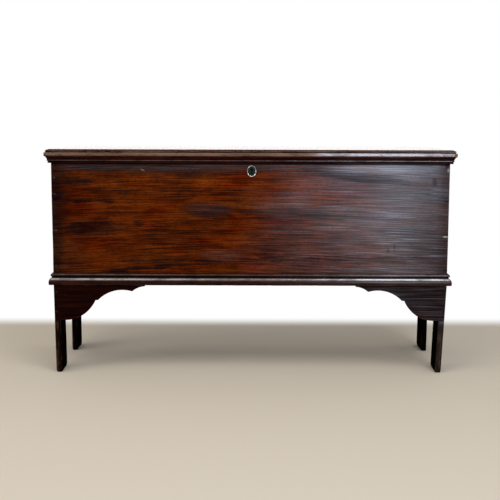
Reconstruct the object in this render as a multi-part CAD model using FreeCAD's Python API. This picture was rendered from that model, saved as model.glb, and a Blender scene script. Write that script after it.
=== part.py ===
import FreeCAD, Part
import os

# A plank blanket chest in millimetres. +X runs to the right, +Y to the back and +Z up.
# The origin lies on the floor, at the middle of the space that the chest takes up.

# Case boards
body_length = 1225.0
body_depth = 415.0
case_height = 676.0
floor_height = 290.0
front_thickness = 18.0
back_thickness = 18.0
end_thickness = 18.0
bottom_thickness = 16.0
bottom_joint_gap = 1.0
housing_depth = 6.0

# Plank legs, left where the end boards are cut out; the front ones stand flush with the front board
leg_depth = 92.0
cutout_side_height = 165.0
cutout_crown_height = 225.0

# Shaped brackets in front of the front legs, and the glue blocks behind them
bracket_length = 284.0
bracket_height = 124.0
block_length = 96.0
block_depth = 24.0
block_height = 30.0

# Bracket outline: shares of its length from the outer end and of its height from the top.
# A pair of points is the middle and the end of an arc.
bracket_shares = [
    (0.0, 0.0),
    (0.0, 1.0),
    (0.127, 1.0),
    ((0.324, 0.850), (0.451, 0.492)),
    (0.482, 0.492),
    ((0.651, 0.262), (0.859, 0.266)),
    ((0.915, 0.184), (1.0, 0.137)),
    (1.0, 0.0),
]

# Moulding round the base, on the front and the two ends
base_moulding_height = 37.0
base_moulding_projection = 13.0
base_moulding_drop = 11.5

# Its section: shares of the projection out from the board, and of the height up from below
base_moulding_shares = [
    (0.0, 0.0),
    (0.92, 0.0),
    ((1.0, 0.18), (0.94, 0.36)),
    ((0.74, 0.51), (0.44, 0.61)),
    (0.34, 0.61),
    (0.34, 0.72),
    (0.56, 0.73),
    ((0.46, 0.91), (0.10, 1.0)),
    (0.0, 1.0),
]
quirk_share = 0.665
quirk_depth_share = 0.34

# Lid board with a moulded edge on the front and the two ends
lid_thickness = 22.0
lid_overhang = 18.5
lid_edge_width = 14.0

# Lid edge: shares of the edge width out to the nose, and of the lid's thickness up from below
lid_edge_shares = [
    (0.0, 0.0),
    (0.74, 0.0),
    ((0.93, 0.05), (1.0, 0.16)),
    (1.0, 0.56),
    (0.88, 0.56),
    (0.88, 0.65),
    ((0.64, 0.86), (0.20, 0.95)),
    (0.20, 1.0),
    (0.0, 1.0),
]

# Moulding under the lid's overhang, clear of the case
lid_clearance = 1.0
lid_moulding_width = 13.0
lid_moulding_height = 20.0

# Its section: shares of the width out from its inner face, and of the height up from below
lid_moulding_shares = [
    (0.0, 0.0),
    (0.48, 0.0),
    ((0.60, 0.10), (0.54, 0.22)),
    (0.54, 0.30),
    (0.64, 0.30),
    ((0.75, 0.41), (0.68, 0.52)),
    ((0.81, 0.73), (1.0, 0.90)),
    (1.0, 1.0),
    (0.0, 1.0),
]
lid_sprig_share = 0.26

# Strap hinges: the strap is under the lid, the leaf on the outside of the back board
hinge_inset = 230.0
hinge_plate = 3.0
knuckle_radius = 6.0
knuckle_length = 14.0
knuckle_gap = 0.3
barrel_gap = 0.3
pin_radius = 3.0
pin_clearance = 0.05
pin_head_radius = 4.2
pin_head_length = 2.0
strap_width = 24.0
strap_tip_width = 14.0
strap_reach = 180.0
strap_clearance = 0.5
leaf_height = 86.0
strap_nail_shares = (0.24, 0.52, 0.82)
leaf_nail_shares = ((-0.30, 0.34), (0.30, 0.34), (0.0, 0.82))

# Keyhole and its oval plate, which stands a little below the lid's moulding
keyhole_offset = 3.0
escutcheon_gap = 6.2
keyhole_rise = 4.0
keyhole_radius = 4.2
keyhole_slot_width = 5.0
keyhole_slot_drop = 13.0
escutcheon_width = 28.5
escutcheon_height = 34.6
escutcheon_thickness = 1.0
escutcheon_rim_width = 2.4
escutcheon_rim_height = 2.2
escutcheon_rim_round = 0.7
escutcheon_pin_drop = 12.3

# Box lock on the inside of the front board: its case reaches past the staples, its plate past the case
lock_flange = 10.0
lock_height = 64.0
lock_depth = 16.0
lock_plate_thickness = 2.0
lock_case_margin = 20.0
lock_case_height = 54.0
lock_case_wall = 1.5
lock_nail_inset = 5.0
drill_pin_radius = 1.6
drill_pin_setback = 2.0

# Link plate in the lid, with two staples that drop into the lock
link_plate_end = 16.0
link_plate_width = 12.0
link_plate_thickness = 2.0
link_nail_inset = 5.0
staple_spacing = 36.0
staple_thickness = 3.0
staple_width = 8.0
staple_drop = 16.0
staple_setback = 1.5
staple_foot = 3.0
staple_eye_width = 4.6
staple_eye_height = 6.4
staple_clearance = 1.2

# Lock bolt, which slides to the right into the staples, and its spring
bolt_travel = 8.0
bolt_gap = 0.3
bolt_bar_height = 7.0
bolt_bar_clearance = 1.0
bolt_post_width = 5.0
finger_gap = 1.0
finger_stop_gap = 0.7
finger_clearance = 0.5
ledge_length = 8.0
ledge_thickness = 2.0
spring_length = 40.0
spring_height = 5.0
spring_thickness = 0.8

# Forged nails, square and tapered
nail_head = 6.5
nail_head_depth = 2.5
nail_shank = 4.0
nail_length = 48.0
short_nail_head = 6.0
short_nail_head_depth = 1.6
short_nail_shank = 3.2
short_nail_length = 16.0
sprig_head = 2.6
sprig_head_depth = 1.2
sprig_shank = 1.9
base_sprig_length = 16.0
lid_sprig_length = 32.0
escutcheon_pin_head = 2.4
escutcheon_pin_head_depth = 0.6
escutcheon_pin_shank = 1.4
escutcheon_pin_length = 11.0
nail_tip_share = 0.4

# Heights of the nails at each corner, as shares of the board's height
front_left_nail_shares = (0.12, 0.41, 0.70, 0.83)
front_right_nail_shares = (0.10, 0.38, 0.65, 0.925)
back_nail_shares = (0.12, 0.37, 0.63, 0.86)
bracket_nail_shares = (0.22, 0.72)
bottom_nail_shares = (0.16, 0.38, 0.62, 0.84)
front_sprig_count = 8
end_sprig_count = 4

# One overrun for every cut
overrun = 5.0

# Planes and lines that the pieces share
half_length = body_length / 2
barrel_depth = barrel_gap + 2 * knuckle_radius
overall_depth = lid_overhang + body_depth + barrel_depth
front_y = lid_overhang - overall_depth / 2
back_y = front_y + body_depth
inner_front_y = front_y + front_thickness
inner_back_y = back_y - back_thickness
inner_half_length = half_length - end_thickness
base_moulding_low = floor_height - base_moulding_drop
bracket_low = floor_height - bracket_height
hinge_y = back_y + barrel_gap + knuckle_radius
hinge_z = case_height - knuckle_radius
leaf_width = strap_width + 2 * (knuckle_gap + knuckle_length)
keyhole_z = case_height - lid_moulding_height - escutcheon_gap - escutcheon_height / 2
link_plate_length = staple_spacing + 2 * link_plate_end
lock_case_width = staple_spacing + 2 * lock_case_margin
lock_width = lock_case_width + 2 * lock_flange
lock_back_y = inner_front_y + lock_depth
lock_inner_y = inner_front_y + lock_plate_thickness
lock_case_top = case_height - lock_plate_thickness
staple_y = lock_inner_y + staple_setback + staple_width / 2
staple_low = case_height - staple_drop
finger_width = staple_eye_width - 2 * finger_clearance
finger_height = staple_eye_height - 2 * finger_clearance
finger_length = bolt_travel - finger_gap + finger_stop_gap
finger_low = staple_low + staple_foot + finger_clearance
bolt_front_y = lock_inner_y + bolt_gap
bolt_back_y = staple_y + finger_width / 2
bolt_bar_top = staple_low - bolt_bar_clearance
bolt_bar_low = bolt_bar_top - bolt_bar_height
sides = (-1, 1)


def point(x, y, z):
    return FreeCAD.Vector(x, y, z)


def block(x0, x1, y0, y1, z0, z1):
    """Box between two limits on each axis, whichever comes first."""
    low = point(min(x0, x1), min(y0, y1), min(z0, z1))
    return Part.makeBox(abs(x1 - x0), abs(y1 - y0), abs(z1 - z0), low)


def rod(x0, x1, y, z, radius):
    """Round bar along X."""
    return Part.makeCylinder(radius, abs(x1 - x0), point(min(x0, x1), y, z), point(1, 0, 0))


def one_solid(shape):
    return shape.Solids[0] if len(shape.Solids) == 1 else shape


def outline_face(steps):
    """Flat face round a list of points; a pair of points is the middle and the end of an arc."""
    edges = []
    here = steps[0]
    for step in steps[1:] + steps[:1]:
        if isinstance(step, tuple):
            middle, end = step
            edges.append(Part.Arc(here, middle, end).toShape())
        else:
            end = step
            edges.append(Part.makeLine(here, end))
        here = end
    return Part.Face(Part.Wire(edges))


def share_steps(shares, width, height, place):
    """Outline steps from shares of a width and a height, put in space by place(across, up)."""
    steps = []
    for share in shares:
        if isinstance(share[0], tuple):
            middle, end = share
            steps.append((place(middle[0] * width, middle[1] * height),
                          place(end[0] * width, end[1] * height)))
        else:
            steps.append(place(share[0] * width, share[1] * height))
    return steps


def along_x(face, length):
    return face.extrude(point(length, 0, 0))


def along_y(face, length):
    return face.extrude(point(0, length, 0))


def corner_wedge(side, outer_x, low, high):
    """Prism on one side of the mitre line that leaves a front corner of the case at 45 degrees."""
    reach = lid_overhang + base_moulding_projection
    corner = point(side * half_length, front_y, low)
    diagonal = corner + point(side * reach, -reach, 0)
    if outer_x:
        third = corner + point(side * reach, 0, 0)
    else:
        third = corner + point(0, -reach, 0)
    return outline_face([corner, diagonal, third]).extrude(point(0, 0, high - low))


def mitred_front(shares, width, height, start, low):
    """Front length of a moulding whose section starts at a distance from the front board."""
    reach = half_length + start + width
    face = outline_face(share_steps(
        shares, width, height, lambda out, up: point(-reach, front_y - start - out, low + up)))
    length = along_x(face, 2 * reach)
    wedges = [corner_wedge(side, True, low - overrun, low + height + overrun) for side in sides]
    return one_solid(length.cut(wedges))


def mitred_end(shares, width, height, start, low, side):
    """End length of the same moulding, from the front mitre to the back of the case."""
    first_y = front_y - start - width
    face = outline_face(share_steps(
        shares, width, height,
        lambda out, up: point(side * (half_length + start + out), first_y, low + up)))
    length = along_y(face, back_y - first_y)
    return one_solid(length.cut(corner_wedge(side, False, low - overrun, low + height + overrun)))


# Nails

def nail(head, head_depth, shank, length):
    """Nail along +Y with its flat head at the origin: a tapered head on a tapered square shank."""
    wide = head / 2
    neck = shank / 2
    tip = neck * nail_tip_share
    top = Part.makeWedge(-wide, 0, -wide, -neck, -neck, wide, head_depth, wide, neck, neck)
    stem = Part.makeWedge(-neck, head_depth, -neck, -tip, -tip, neck, length, neck, tip, tip)
    return one_solid(top.fuse(stem).removeSplitter())


def driven(blank, place, direction):
    """Copy of a nail with its head at a place, driven in a direction."""
    copy = blank.copy()
    copy.Placement = FreeCAD.Placement(place, FreeCAD.Rotation(point(0, 1, 0), direction))
    return copy


def spread(first, last, count):
    """Even places between two limits, half a step in from each."""
    step = (last - first) / count
    return [first + step * (index + 0.5) for index in range(count)]


long_nail = nail(nail_head, nail_head_depth, nail_shank, nail_length)
short_nail = nail(short_nail_head, short_nail_head_depth, short_nail_shank, short_nail_length)
base_sprig = nail(sprig_head, sprig_head_depth, sprig_shank, base_sprig_length)
lid_sprig = nail(sprig_head, sprig_head_depth, sprig_shank, lid_sprig_length)
escutcheon_pin = nail(escutcheon_pin_head, escutcheon_pin_head_depth,
                      escutcheon_pin_shank, escutcheon_pin_length)


def corner_nails(side, shares, low, height, y, direction):
    """Nails in a row up the edge of an end board."""
    x = side * (half_length - end_thickness / 2)
    return [driven(long_nail, point(x, y, low + share * height), point(0, direction, 0))
            for share in shares]


def front_board_nails():
    height = case_height - floor_height
    left = corner_nails(-1, front_left_nail_shares, floor_height, height, front_y, 1)
    right = corner_nails(1, front_right_nail_shares, floor_height, height, front_y, 1)
    return left + right


def back_board_nails():
    height = case_height - floor_height
    nails = []
    for side in sides:
        nails += corner_nails(side, back_nail_shares, floor_height, height, back_y, -1)
    return nails


def bracket_nails():
    nails = []
    for side in sides:
        nails += corner_nails(side, bracket_nail_shares, bracket_low, bracket_height, front_y, 1)
    return nails


def bottom_board_nails():
    """Through the end boards into the ends of the bottom boards, under the base moulding."""
    z = floor_height + bottom_thickness / 2
    depth = inner_back_y - inner_front_y
    nails = []
    for side in sides:
        for share in bottom_nail_shares:
            place = point(side * half_length, inner_front_y + share * depth, z)
            nails.append(driven(long_nail, place, point(-side, 0, 0)))
    return nails


def base_moulding_sprigs():
    """Sprigs along the floor of the quirk, where they don't show."""
    out = base_moulding_projection * quirk_depth_share
    z = base_moulding_low + base_moulding_height * quirk_share
    sprigs = []
    for x in spread(-half_length, half_length, front_sprig_count):
        sprigs.append(driven(base_sprig, point(x, front_y - out, z), point(0, 1, 0)))
    for side in sides:
        for y in spread(front_y, back_y, end_sprig_count):
            place = point(side * (half_length + out), y, z)
            sprigs.append(driven(base_sprig, place, point(-side, 0, 0)))
    return sprigs


def lid_moulding_sprigs():
    """Sprigs driven up through the moulding into the lid."""
    out = lid_clearance + lid_moulding_width * lid_sprig_share
    z = case_height - lid_moulding_height
    sprigs = []
    for x in spread(-half_length, half_length, front_sprig_count):
        sprigs.append(driven(lid_sprig, point(x, front_y - out, z), point(0, 0, 1)))
    for side in sides:
        for y in spread(front_y, back_y, end_sprig_count):
            sprigs.append(driven(lid_sprig, point(side * (half_length + out), y, z), point(0, 0, 1)))
    return sprigs


def hinge_strap_nails():
    nails = []
    for side in sides:
        for share in strap_nail_shares:
            place = point(hinge_x(side), back_y - share * strap_reach, case_height - hinge_plate)
            nails.append(driven(short_nail, place, point(0, 0, 1)))
    return nails


def hinge_leaf_nails():
    nails = []
    for side in sides:
        for across, down in leaf_nail_shares:
            x = hinge_x(side) + across * leaf_width
            place = point(x, back_y + hinge_plate, hinge_z - down * leaf_height)
            nails.append(driven(short_nail, place, point(0, -1, 0)))
    return nails


def lock_nails():
    across = lock_width / 2 - lock_nail_inset
    high = case_height - lock_plate_thickness - 2 * lock_nail_inset
    low = case_height - lock_height + lock_nail_inset
    places = [point(keyhole_offset + side * across, lock_inner_y, z)
              for side in sides for z in (low, high)]
    return [driven(short_nail, place, point(0, -1, 0)) for place in places]


def link_plate_nails():
    across = link_plate_length / 2 - link_nail_inset
    places = [point(keyhole_offset + side * across, staple_y, case_height) for side in sides]
    return [driven(short_nail, place, point(0, 0, 1)) for place in places]


def escutcheon_pins():
    y = front_y - escutcheon_thickness
    places = [point(keyhole_offset, y, keyhole_z + side * escutcheon_pin_drop) for side in sides]
    return [driven(escutcheon_pin, place, point(0, 1, 0)) for place in places]


# Keyhole

def keyhole(first_y, last_y):
    """Round hole with a slot below it, cut along Y."""
    centre_z = keyhole_z + keyhole_rise
    hole = Part.makeCylinder(keyhole_radius, last_y - first_y,
                             point(keyhole_offset, first_y, centre_z), point(0, 1, 0))
    half_slot = keyhole_slot_width / 2
    slot = block(keyhole_offset - half_slot, keyhole_offset + half_slot, first_y, last_y,
                 centre_z - keyhole_slot_drop, centre_z)
    return hole.fuse(slot).removeSplitter()


def oval(width, height, first_y, thickness):
    """Upright oval plate centred on the keyhole."""
    centre = point(keyhole_offset, first_y, keyhole_z)
    edge = Part.Ellipse(centre + point(0, 0, height / 2), centre + point(width / 2, 0, 0), centre).toShape()
    return along_y(Part.Face(Part.Wire([edge])), thickness)


def escutcheon():
    rim_y = front_y - escutcheon_rim_height
    plate = oval(escutcheon_width, escutcheon_height, front_y - escutcheon_thickness, escutcheon_thickness)
    rim = oval(escutcheon_width, escutcheon_height, rim_y, escutcheon_rim_height)
    rim = rim.cut(oval(escutcheon_width - 2 * escutcheon_rim_width,
                       escutcheon_height - 2 * escutcheon_rim_width,
                       rim_y - overrun, escutcheon_rim_height + 2 * overrun))
    crest = [edge for edge in rim.Edges if abs(edge.BoundBox.YMax - rim_y) < escutcheon_rim_round]
    rim = rim.makeFillet(escutcheon_rim_round, crest)
    return one_solid(plate.fuse(rim).cut(keyhole(rim_y - overrun, front_y + overrun)))


# Case

def front_board():
    board = block(-half_length, half_length, front_y, inner_front_y, floor_height, case_height)
    return board.cut(keyhole(front_y - overrun, inner_front_y + overrun))


def hinge_x(side):
    return side * (half_length - hinge_inset)


def back_board():
    """Board with a gain in its top edge for each hinge strap."""
    board = block(-half_length, half_length, inner_back_y, back_y, floor_height, case_height)
    half_gain = strap_width / 2 + strap_clearance
    gain_z = case_height - hinge_plate - strap_clearance
    gains = [block(hinge_x(side) - half_gain, hinge_x(side) + half_gain,
                   inner_back_y - overrun, back_y + overrun, gain_z, case_height + overrun)
             for side in sides]
    return board.cut(gains)


def end_board(side):
    """Board to the floor, notched for the front board and bracket and housed for the bottom boards.

    A low arch cut out of its lower end leaves the two legs.
    """
    x = side * half_length
    front_leg_y = front_y + leg_depth
    rear_leg_y = inner_back_y - leg_depth
    middle_y = (front_leg_y + rear_leg_y) / 2
    face = outline_face([
        point(x, front_y, 0),
        point(x, front_leg_y, 0),
        point(x, front_leg_y, cutout_side_height),
        (point(x, middle_y, cutout_crown_height), point(x, rear_leg_y, cutout_side_height)),
        point(x, rear_leg_y, 0),
        point(x, inner_back_y, 0),
        point(x, inner_back_y, case_height),
        point(x, inner_front_y, case_height),
        point(x, inner_front_y, bracket_low),
        point(x, front_y, bracket_low),
    ])
    board = along_x(face, -side * end_thickness)
    housing = block(side * (inner_half_length - overrun), side * (inner_half_length + housing_depth),
                    inner_front_y - overrun, inner_back_y + overrun,
                    floor_height, floor_height + bottom_thickness)
    return board.cut(housing)


def bottom_board(first_y, last_y):
    reach = inner_half_length + housing_depth
    return block(-reach, reach, first_y, last_y, floor_height, floor_height + bottom_thickness)


def bracket(side):
    face = outline_face(share_steps(
        bracket_shares, bracket_length, bracket_height,
        lambda along, down: point(side * (half_length - along), front_y, floor_height - down)))
    return along_y(face, front_thickness)


def bracket_block(side):
    return block(side * inner_half_length, side * (inner_half_length - block_length),
                 inner_front_y, inner_front_y + block_depth, floor_height - block_height, floor_height)


# Lid

def lid_board():
    """Flat board with its moulded edge worked along the front and both ends."""
    start = lid_overhang - lid_edge_width
    flat = block(-half_length - start, half_length + start, front_y - start, back_y,
                 case_height, case_height + lid_thickness)
    edges = [mitred_front(lid_edge_shares, lid_edge_width, lid_thickness, start, case_height)]
    for side in sides:
        edges.append(mitred_end(lid_edge_shares, lid_edge_width, lid_thickness, start, case_height, side))
    return one_solid(flat.fuse(edges).removeSplitter().cut(link_recess()))


# Hinges

def hinge_bore(side):
    x = hinge_x(side)
    return rod(x - leaf_width, x + leaf_width, hinge_y, hinge_z, pin_radius + pin_clearance)


def hinge_leaf(side):
    x = hinge_x(side)
    half_leaf = leaf_width / 2
    half_gap = strap_width / 2 + knuckle_gap
    plate = block(x - half_leaf, x + half_leaf, back_y, back_y + hinge_plate,
                  hinge_z - leaf_height, hinge_z)
    barrel = rod(x - half_leaf, x + half_leaf, hinge_y, hinge_z, knuckle_radius)
    notch = block(x - half_gap, x + half_gap, back_y - overrun, hinge_y + knuckle_radius + overrun,
                  hinge_z - knuckle_radius - barrel_gap, hinge_z + knuckle_radius + overrun)
    return one_solid(plate.fuse(barrel).cut([notch, hinge_bore(side)]))


def hinge_strap(side):
    """Tapered strap with a round tip, rolled into an eye at the back."""
    x = hinge_x(side)
    low = case_height - hinge_plate
    half_width = strap_width / 2
    half_tip = strap_tip_width / 2
    tip_y = back_y - strap_reach
    face = outline_face([
        point(x - half_width, hinge_y, low),
        point(x - half_width, inner_back_y, low),
        point(x - half_tip, tip_y + half_tip, low),
        (point(x, tip_y, low), point(x + half_tip, tip_y + half_tip, low)),
        point(x + half_width, inner_back_y, low),
        point(x + half_width, hinge_y, low),
    ])
    strap = face.extrude(point(0, 0, hinge_plate))
    eye = rod(x - half_width, x + half_width, hinge_y, hinge_z, knuckle_radius)
    return one_solid(strap.fuse(eye).cut(hinge_bore(side)))


def hinge_pin(side):
    x = hinge_x(side)
    half_leaf = leaf_width / 2
    pin = rod(x - half_leaf, x + half_leaf, hinge_y, hinge_z, pin_radius)
    heads = [rod(x + end * half_leaf, x + end * (half_leaf + pin_head_length),
                 hinge_y, hinge_z, pin_head_radius) for end in sides]
    return one_solid(pin.fuse(heads).removeSplitter())


# Lock

def staple_x(side):
    return keyhole_offset + side * staple_spacing / 2


def staple_block(side, spare):
    """Space of one staple, with room to spare round it."""
    half_x = staple_thickness / 2 + spare
    half_y = staple_width / 2 + spare
    return block(staple_x(side) - half_x, staple_x(side) + half_x, staple_y - half_y, staple_y + half_y,
                 staple_low - spare, case_height)


def link_recess():
    """Space let into the lid's underside for the link plate."""
    half_x = link_plate_length / 2
    half_y = link_plate_width / 2
    return block(keyhole_offset - half_x, keyhole_offset + half_x, staple_y - half_y, staple_y + half_y,
                 case_height, case_height + link_plate_thickness)


def lock_link_plate():
    plate = link_recess()
    eye_low = staple_low + staple_foot
    half_eye = staple_eye_width / 2
    for side in sides:
        eye = block(staple_x(side) - staple_thickness, staple_x(side) + staple_thickness,
                    staple_y - half_eye, staple_y + half_eye, eye_low, eye_low + staple_eye_height)
        plate = plate.fuse(staple_block(side, 0).cut(eye))
    return one_solid(plate.removeSplitter())


def lock_plate():
    """Plate on the front board with a top edge bent back, slots for the staples and two ledges."""
    half_x = lock_width / 2
    low = case_height - lock_height
    plate = block(keyhole_offset - half_x, keyhole_offset + half_x, inner_front_y, lock_inner_y,
                  low, case_height)
    top = block(keyhole_offset - half_x, keyhole_offset + half_x, inner_front_y, lock_back_y,
                lock_case_top, case_height)
    ledge_top = bolt_bar_low - bolt_gap
    ledges = [block(staple_x(side) - finger_length, staple_x(side) - finger_length - ledge_length,
                    lock_inner_y, bolt_back_y, ledge_top - ledge_thickness, ledge_top) for side in sides]
    cuts = [staple_block(side, staple_clearance) for side in sides]
    cuts.append(keyhole(inner_front_y - overrun, lock_inner_y + overrun))
    return one_solid(plate.fuse([top] + ledges).cut(cuts).removeSplitter())


def lock_case():
    """Shallow box, open to the plate and to its bent top edge."""
    half_x = lock_case_width / 2
    low = lock_case_top - lock_case_height
    box = block(keyhole_offset - half_x, keyhole_offset + half_x, lock_inner_y, lock_back_y,
                low, lock_case_top)
    half_inner = half_x - lock_case_wall
    hollow = block(keyhole_offset - half_inner, keyhole_offset + half_inner,
                   lock_inner_y - overrun, lock_back_y - lock_case_wall,
                   low + lock_case_wall, lock_case_top + overrun)
    return box.cut(hollow)


def lock_drill_pin():
    """Round pin on the back of the case, in line with the keyhole, that the key turns on."""
    first_y = lock_inner_y + drill_pin_setback
    return Part.makeCylinder(drill_pin_radius, lock_back_y - lock_case_wall - first_y,
                             point(keyhole_offset, first_y, keyhole_z + keyhole_rise), point(0, 1, 0))


def lock_bolt():
    """Bar with a post and a finger for each staple."""
    finger_front_y = staple_y - finger_width / 2
    shapes = []
    posts = []
    for side in sides:
        tip = staple_x(side) - staple_thickness / 2 - finger_gap
        post_x = tip - finger_length
        posts.append(post_x)
        shapes.append(block(post_x, tip, finger_front_y, bolt_back_y, finger_low, finger_low + finger_height))
        shapes.append(block(post_x - bolt_post_width, post_x, finger_front_y, bolt_back_y,
                            bolt_bar_top, finger_low + finger_height))
    bar = block(posts[0] - bolt_post_width, posts[-1], bolt_front_y, bolt_back_y,
                bolt_bar_low, bolt_bar_top)
    return one_solid(bar.fuse(shapes).removeSplitter())


def lock_spring():
    """Bowed strip between the back of the case and the bolt."""
    wall_y = lock_back_y - lock_case_wall
    crown_y = bolt_back_y + bolt_gap
    half_length_x = spring_length / 2
    z = bolt_bar_low + (bolt_bar_height - spring_height) / 2
    inner_x = half_length_x - 2 * spring_thickness
    face = outline_face([
        point(keyhole_offset - half_length_x, wall_y, z),
        (point(keyhole_offset, crown_y, z), point(keyhole_offset + half_length_x, wall_y, z)),
        point(keyhole_offset + inner_x, wall_y, z),
        (point(keyhole_offset, crown_y + spring_thickness, z), point(keyhole_offset - inner_x, wall_y, z)),
    ])
    return face.extrude(point(0, 0, spring_height))


def pierced(shape, nails):
    """Piece with a hole for each nail that goes into it."""
    hits = [one for one in nails if one.BoundBox.intersect(shape.BoundBox)]
    return one_solid(shape.cut(hits)) if hits else shape


nail_groups = {
    "front_board_nails": front_board_nails(),
    "back_board_nails": back_board_nails(),
    "bottom_board_nails": bottom_board_nails(),
    "bracket_nails": bracket_nails(),
    "base_moulding_sprigs": base_moulding_sprigs(),
    "lid_moulding_sprigs": lid_moulding_sprigs(),
    "hinge_strap_nails": hinge_strap_nails(),
    "hinge_leaf_nails": hinge_leaf_nails(),
    "lock_nails": lock_nails(),
    "link_plate_nails": link_plate_nails(),
    "escutcheon_pins": escutcheon_pins(),
}

bottom_middle_y = (inner_front_y + inner_back_y) / 2
pieces = {
    "front_board": front_board(),
    "back_board": back_board(),
    "front_bottom_board": bottom_board(inner_front_y, bottom_middle_y - bottom_joint_gap / 2),
    "rear_bottom_board": bottom_board(bottom_middle_y + bottom_joint_gap / 2, inner_back_y),
    "base_moulding_front": mitred_front(
        base_moulding_shares, base_moulding_projection, base_moulding_height, 0, base_moulding_low),
    "lid_board": lid_board(),
    "lid_moulding_front": mitred_front(
        lid_moulding_shares, lid_moulding_width, lid_moulding_height, lid_clearance,
        case_height - lid_moulding_height),
    "escutcheon": escutcheon(),
    "lock_plate": lock_plate(),
    "lock_case": lock_case(),
    "lock_drill_pin": lock_drill_pin(),
    "lock_bolt": lock_bolt(),
    "lock_spring": lock_spring(),
    "lock_link_plate": lock_link_plate(),
}
for name, side in (("left", -1), ("right", 1)):
    pieces[name + "_end_board"] = end_board(side)
    pieces[name + "_front_bracket"] = bracket(side)
    pieces[name + "_bracket_block"] = bracket_block(side)
    pieces["base_moulding_" + name] = mitred_end(
        base_moulding_shares, base_moulding_projection, base_moulding_height, 0, base_moulding_low, side)
    pieces["lid_moulding_" + name] = mitred_end(
        lid_moulding_shares, lid_moulding_width, lid_moulding_height, lid_clearance,
        case_height - lid_moulding_height, side)
    pieces[name + "_hinge_leaf"] = hinge_leaf(side)
    pieces[name + "_hinge_strap"] = hinge_strap(side)
    pieces[name + "_hinge_pin"] = hinge_pin(side)

all_nails = [one for group in nail_groups.values() for one in group]
os.makedirs("parts", exist_ok=True)
for name, shape in pieces.items():
    pierced(shape, all_nails).exportStep("parts/" + name + ".step")
for name, group in nail_groups.items():
    Part.makeCompound(group).exportStep("parts/" + name + ".step")
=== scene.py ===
import math

import bmesh
import bpy
from mathutils import Matrix, Vector, noise

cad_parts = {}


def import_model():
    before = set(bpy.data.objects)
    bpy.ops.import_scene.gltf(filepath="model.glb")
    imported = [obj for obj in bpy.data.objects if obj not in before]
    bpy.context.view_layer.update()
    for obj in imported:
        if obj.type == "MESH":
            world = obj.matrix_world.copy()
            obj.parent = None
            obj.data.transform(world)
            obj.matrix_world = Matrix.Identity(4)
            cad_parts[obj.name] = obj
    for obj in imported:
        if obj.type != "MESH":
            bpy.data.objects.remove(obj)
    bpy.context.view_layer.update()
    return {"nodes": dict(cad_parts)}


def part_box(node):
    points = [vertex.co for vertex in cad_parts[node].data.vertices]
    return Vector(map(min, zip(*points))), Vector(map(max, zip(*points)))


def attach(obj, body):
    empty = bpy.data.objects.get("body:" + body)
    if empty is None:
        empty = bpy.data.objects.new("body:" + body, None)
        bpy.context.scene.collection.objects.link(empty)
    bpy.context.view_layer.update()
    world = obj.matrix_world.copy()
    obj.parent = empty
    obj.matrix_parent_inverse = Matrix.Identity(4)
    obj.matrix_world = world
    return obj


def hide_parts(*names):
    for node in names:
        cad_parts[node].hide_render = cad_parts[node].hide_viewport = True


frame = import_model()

# Lines of the case that the pieces share, read from the frame
X, Y, Z = 0, 1, 2
front_low, front_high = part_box("front_board")
back_low, back_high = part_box("back_board")
escutcheon_low, escutcheon_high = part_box("escutcheon")
lid_low, lid_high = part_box("lid_board")
base_low, base_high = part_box("base_moulding_front")
half_length = front_high.x
front_y = front_low.y
inner_front_y = front_high.y
inner_back_y = back_low.y
back_y = back_high.y
case_top = front_high.z
inner_half_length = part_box("right_end_board")[0].x
floor_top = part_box("front_bottom_board")[1].z
keyhole_x = (escutcheon_low.x + escutcheon_high.x) / 2
base_height = base_high.z - base_low.z
lid_thickness = lid_high.z - lid_low.z
lid_moulding_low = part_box("lid_moulding_front")[0].z
lid_moulding_height = case_top - lid_moulding_low

# Photograph's view, set back from the front board
camera_setback = 3.06225
camera_place = Vector((-0.0136, front_y - camera_setback, 0.780))
camera_pitch = math.radians(-7.288)
camera_heading = math.radians(-0.229)
camera_roll = math.radians(0.192)
camera_lens = 71.7
camera_sensor = 36.0

# Meshes: what counts as one point, as straight, as an arris and as a crease, and the size of their grids
weld = 0.00002
straight_angle = math.radians(0.6)
sharp_angle = math.radians(24)
shade_angle = math.radians(38)
board_step = 0.03
bracket_step = 0.02
block_step = 0.012
moulding_step = 0.009
lid_steps = {X: 0.012, Y: 0.02}

# Wear: rounded arrises and the border beside them
board_arris = 0.0014
plain_arris = 0.0008
moulding_arris = 0.0006
iron_arris = 0.00035
arris_segments = 2
arris_profile = 0.5
worn_border = 0.0022

# Unevenness: depth and size of the swells, depth and size of the nicks, and the noise at which a nick starts
board_wear = (0.00035, 0.16, 0.0012, 0.018, 0.3)
moulding_wear = (0.00035, 0.05, 0.0016, 0.011, 0.28)
lid_wear = (0.00015, 0.30, 0.0012, 0.013, 0.42)
seed_skew = 0.7

# Feet: levels of the cuts that round them over, and how a face counts as turned in from the end of the chest
foot_wear_height = 0.009
foot_wear_depth = 0.003
foot_cuts = (0.2, 0.4, 0.7, 1.0)
turned_out = 0.7
turned_in_fully = 0.2

# How far each end's front legs have moved in at the floor, and the rear legs' share of it
leg_leans = {"left": 0.004, "right": 0.012}
rear_lean_share = 0.25


# Plain mesh work

def ramp(value, low, high):
    """Share of the way from one value to another, kept between 0 and 1."""
    return min(1.0, max(0.0, (value - low) / (high - low)))


def axis_vector(axis, length=1.0):
    vector = Vector((0, 0, 0))
    vector[axis] = length
    return vector


def everything(bm):
    return bm.verts[:] + bm.edges[:] + bm.faces[:]


def cut_across(bm, axis, place):
    """Cut a mesh's faces along a plane across an axis."""
    return bmesh.ops.bisect_plane(
        bm, geom=everything(bm), plane_co=axis_vector(axis, place), plane_no=axis_vector(axis))


def cad_copy(node):
    """Welded copy of a CAD node's mesh."""
    bm = bmesh.new()
    bm.from_mesh(frame["nodes"][node].data)
    bmesh.ops.remove_doubles(bm, verts=bm.verts, dist=weld)
    return bm


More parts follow.
